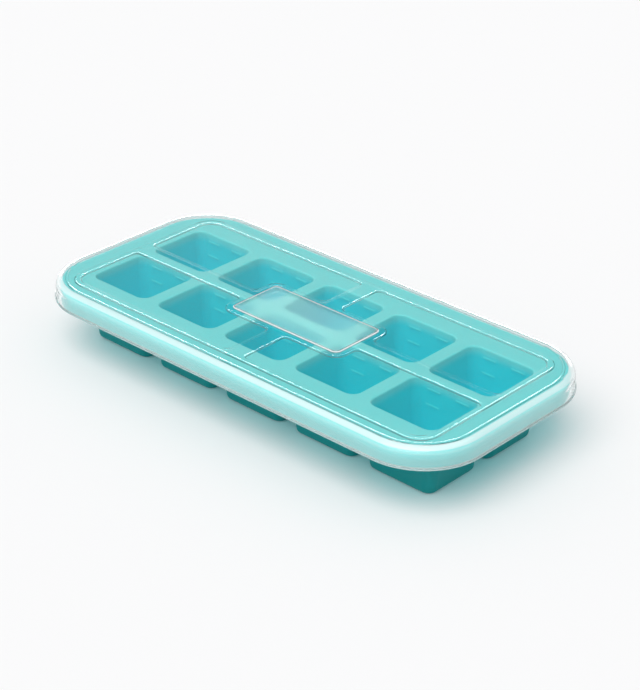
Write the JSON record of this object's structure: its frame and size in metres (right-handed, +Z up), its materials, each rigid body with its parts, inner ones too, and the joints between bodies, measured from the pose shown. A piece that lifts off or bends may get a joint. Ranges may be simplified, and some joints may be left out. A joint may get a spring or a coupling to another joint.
{
  "type": "baby food freezer tray",
  "caption": "Long silicone freezer tray with two rows of square portion wells, a wire-stiffened rim and a clear press-on lid that lifts straight off.",
  "frame": {"origin": "centre of the rectangle that the tray covers, on the plane that the wells' flat bottoms stand on", "axes": "+X along the tray's length, +Y across it, +Z up, towards the lid"},
  "size_m": [0.2576, 0.1242, 0.0357],
  "materials": {
    "teal_silicone": "soft satin moulded silicone, translucent in thin walls",
    "rim_steel": "plain drawn wire",
    "clear_plastic": "clear, smooth moulded plastic"
  },
  "bodies": {
    "tray": {"tray_deck": "teal_silicone", "rim_hoop": "rim_steel", "well_a1": "teal_silicone", "well_a2": "teal_silicone", "well_a3": "teal_silicone", "well_a4": "teal_silicone", "well_a5": "teal_silicone", "well_b1": "teal_silicone", "well_b2": "teal_silicone", "well_b3": "teal_silicone", "well_b4": "teal_silicone", "well_b5": "teal_silicone"},
    "lid": {"clear_lid": "clear_plastic"}
  },
  "joints": [
    {"name": "lid_lift", "type": "slide", "parent": "tray", "child": "lid", "axis": [0, 0, 1], "range_m": [0, 0.05]}
  ]
}
